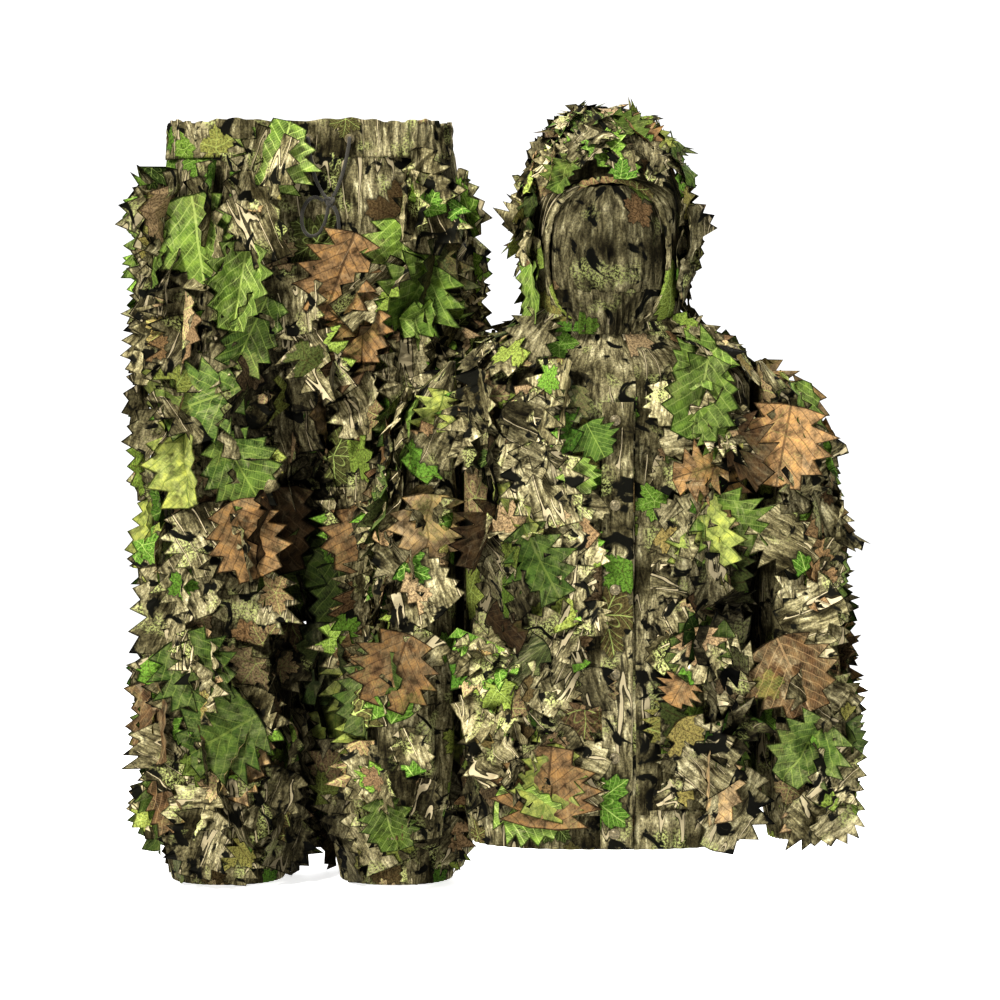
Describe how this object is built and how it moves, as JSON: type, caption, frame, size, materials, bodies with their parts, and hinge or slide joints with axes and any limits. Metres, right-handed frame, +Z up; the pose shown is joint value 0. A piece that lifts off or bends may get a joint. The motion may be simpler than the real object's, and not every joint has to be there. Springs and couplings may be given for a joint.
{
  "type": "ghillie suit",
  "caption": "Two-piece leaf-cut camouflage suit: hooded snap-front jacket with a face mask, and elastic-waist trousers with a drawcord.",
  "frame": {"origin": "on the floor plane between the two garments, where the display forms that fill them stand", "axes": "+X to the wearer's left, +Y towards the wearer's back, +Z up"},
  "size_m": [0.9714, 0.5339, 1.084],
  "materials": {
    "printed_cloth": "matt printed polyester with a bark and leaf pattern",
    "edge_binding": "matt, gathered or folded, same print",
    "mask_mesh": "matt see-through mesh, same print",
    "webbing": "matt woven tape",
    "cord": "matt braided cord",
    "snap_metal": "satin olive-tan enamel",
    "green_leaf": "matt printed leaf",
    "brown_leaf": "matt printed leaf"
  },
  "bodies": {
    "jacket_body": {"back_panel": "printed_cloth", "right_front_panel": "printed_cloth", "left_front_panel": "printed_cloth", "hem_band": "edge_binding", "neck_band": "edge_binding", "hanger_loop": "webbing", "snap_stud_1": "snap_metal", "snap_stud_2": "snap_metal", "snap_stud_3": "snap_metal", "snap_stud_4": "snap_metal", "snap_stud_5": "snap_metal", "snap_stud_6": "snap_metal", "leaf_back_brown": "brown_leaf"},
    "placket_flap": {"placket": "printed_cloth", "snap_cap_1": "snap_metal", "snap_cap_2": "snap_metal", "snap_cap_3": "snap_metal", "snap_cap_4": "snap_metal", "snap_cap_5": "snap_metal", "snap_cap_6": "snap_metal"},
    "hood": {"hood_left_half": "printed_cloth", "hood_right_half": "printed_cloth", "hood_rim": "edge_binding"},
    "mask": {"face_mask": "mask_mesh", "mask_skirt": "mask_mesh"},
    "trousers_seat": {"seat_front": "printed_cloth", "seat_back": "printed_cloth", "waistband": "edge_binding", "left_eyelet": "snap_metal", "right_eyelet": "snap_metal", "drawcord_right": "cord", "drawcord_left": "cord", "drawcord_loop": "cord", "drawcord_tail": "cord", "drawcord_knot": "cord", "leaf_hip_green": "green_leaf"},
    "left_upper_arm": {"left_sleeve_upper": "printed_cloth"},
    "left_forearm": {"left_sleeve_lower": "printed_cloth", "left_sleeve_cuff": "edge_binding"},
    "left_thigh": {"left_thigh_front": "printed_cloth", "left_thigh_back": "printed_cloth", "leaf_left_thigh": "brown_leaf"},
    "left_shin": {"left_shin_front": "printed_cloth", "left_shin_back": "printed_cloth", "left_leg_cuff": "edge_binding", "leaf_left_shin": "green_leaf"},
    "right_upper_arm": {"right_sleeve_upper": "printed_cloth"},
    "right_forearm": {"right_sleeve_lower": "printed_cloth", "right_sleeve_cuff": "edge_binding"},
    "right_thigh": {"right_thigh_front": "printed_cloth", "right_thigh_back": "printed_cloth", "leaf_right_thigh": "brown_leaf"},
    "right_shin": {"right_shin_front": "printed_cloth", "right_shin_back": "printed_cloth", "right_leg_cuff": "edge_binding", "leaf_right_shin": "green_leaf"}
  },
  "joints": [
    {"name": "placket_open", "type": "hinge", "parent": "jacket_body", "child": "placket_flap", "pos_m": [0.195, -0.2646, 0.4], "axis": [0, 0, 1], "range_deg": [0, 150]},
    {"name": "hood_back", "type": "hinge", "parent": "jacket_body", "child": "hood", "pos_m": [0.163, -0.048, 0.8052], "axis": [-1, 0, 0], "range_deg": [0, 90]},
    {"name": "mask_drop", "type": "hinge", "parent": "hood", "child": "mask", "pos_m": [0.163, -0.228, 0.8054], "axis": [1, 0, 0], "range_deg": [0, 130]},
    {"name": "trousers_apart", "type": "slide", "parent": "jacket_body", "child": "trousers_seat", "axis": [-1, 0, 0], "range_m": [0, 0.35]},
    {"name": "left_shoulder", "type": "hinge", "parent": "jacket_body", "child": "left_upper_arm", "pos_m": [0.3634, -0.138, 0.7432], "axis": [0, -1, 0], "range_deg": [0, 80]},
    {"name": "left_elbow", "type": "hinge", "parent": "left_upper_arm", "child": "left_forearm", "pos_m": [0.4179, -0.208, 0.4262], "axis": [-1, 0, 0], "range_deg": [0, 110]},
    {"name": "left_hip", "type": "hinge", "parent": "trousers_seat", "child": "left_thigh", "pos_m": [-0.021, 0.134, 0.7652], "axis": [0, -1, 0], "range_deg": [0, 30]},
    {"name": "left_knee", "type": "hinge", "parent": "left_thigh", "child": "left_shin", "pos_m": [-0.132, 0.234, 0.4002], "axis": [1, 0, 0], "range_deg": [0, 110]},
    {"name": "right_shoulder", "type": "hinge", "parent": "jacket_body", "child": "right_upper_arm", "pos_m": [-0.0374, -0.138, 0.7432], "axis": [0, 1, 0], "range_deg": [0, 80]},
    {"name": "right_elbow", "type": "hinge", "parent": "right_upper_arm", "child": "right_forearm", "pos_m": [-0.0919, -0.208, 0.4262], "axis": [-1, 0, 0], "range_deg": [0, 110]},
    {"name": "right_hip", "type": "hinge", "parent": "trousers_seat", "child": "right_thigh", "pos_m": [-0.483, 0.134, 0.7652], "axis": [0, 1, 0], "range_deg": [0, 30]},
    {"name": "right_knee", "type": "hinge", "parent": "right_thigh", "child": "right_shin", "pos_m": [-0.372, 0.234, 0.4002], "axis": [1, 0, 0], "range_deg": [0, 110]}
  ]
}
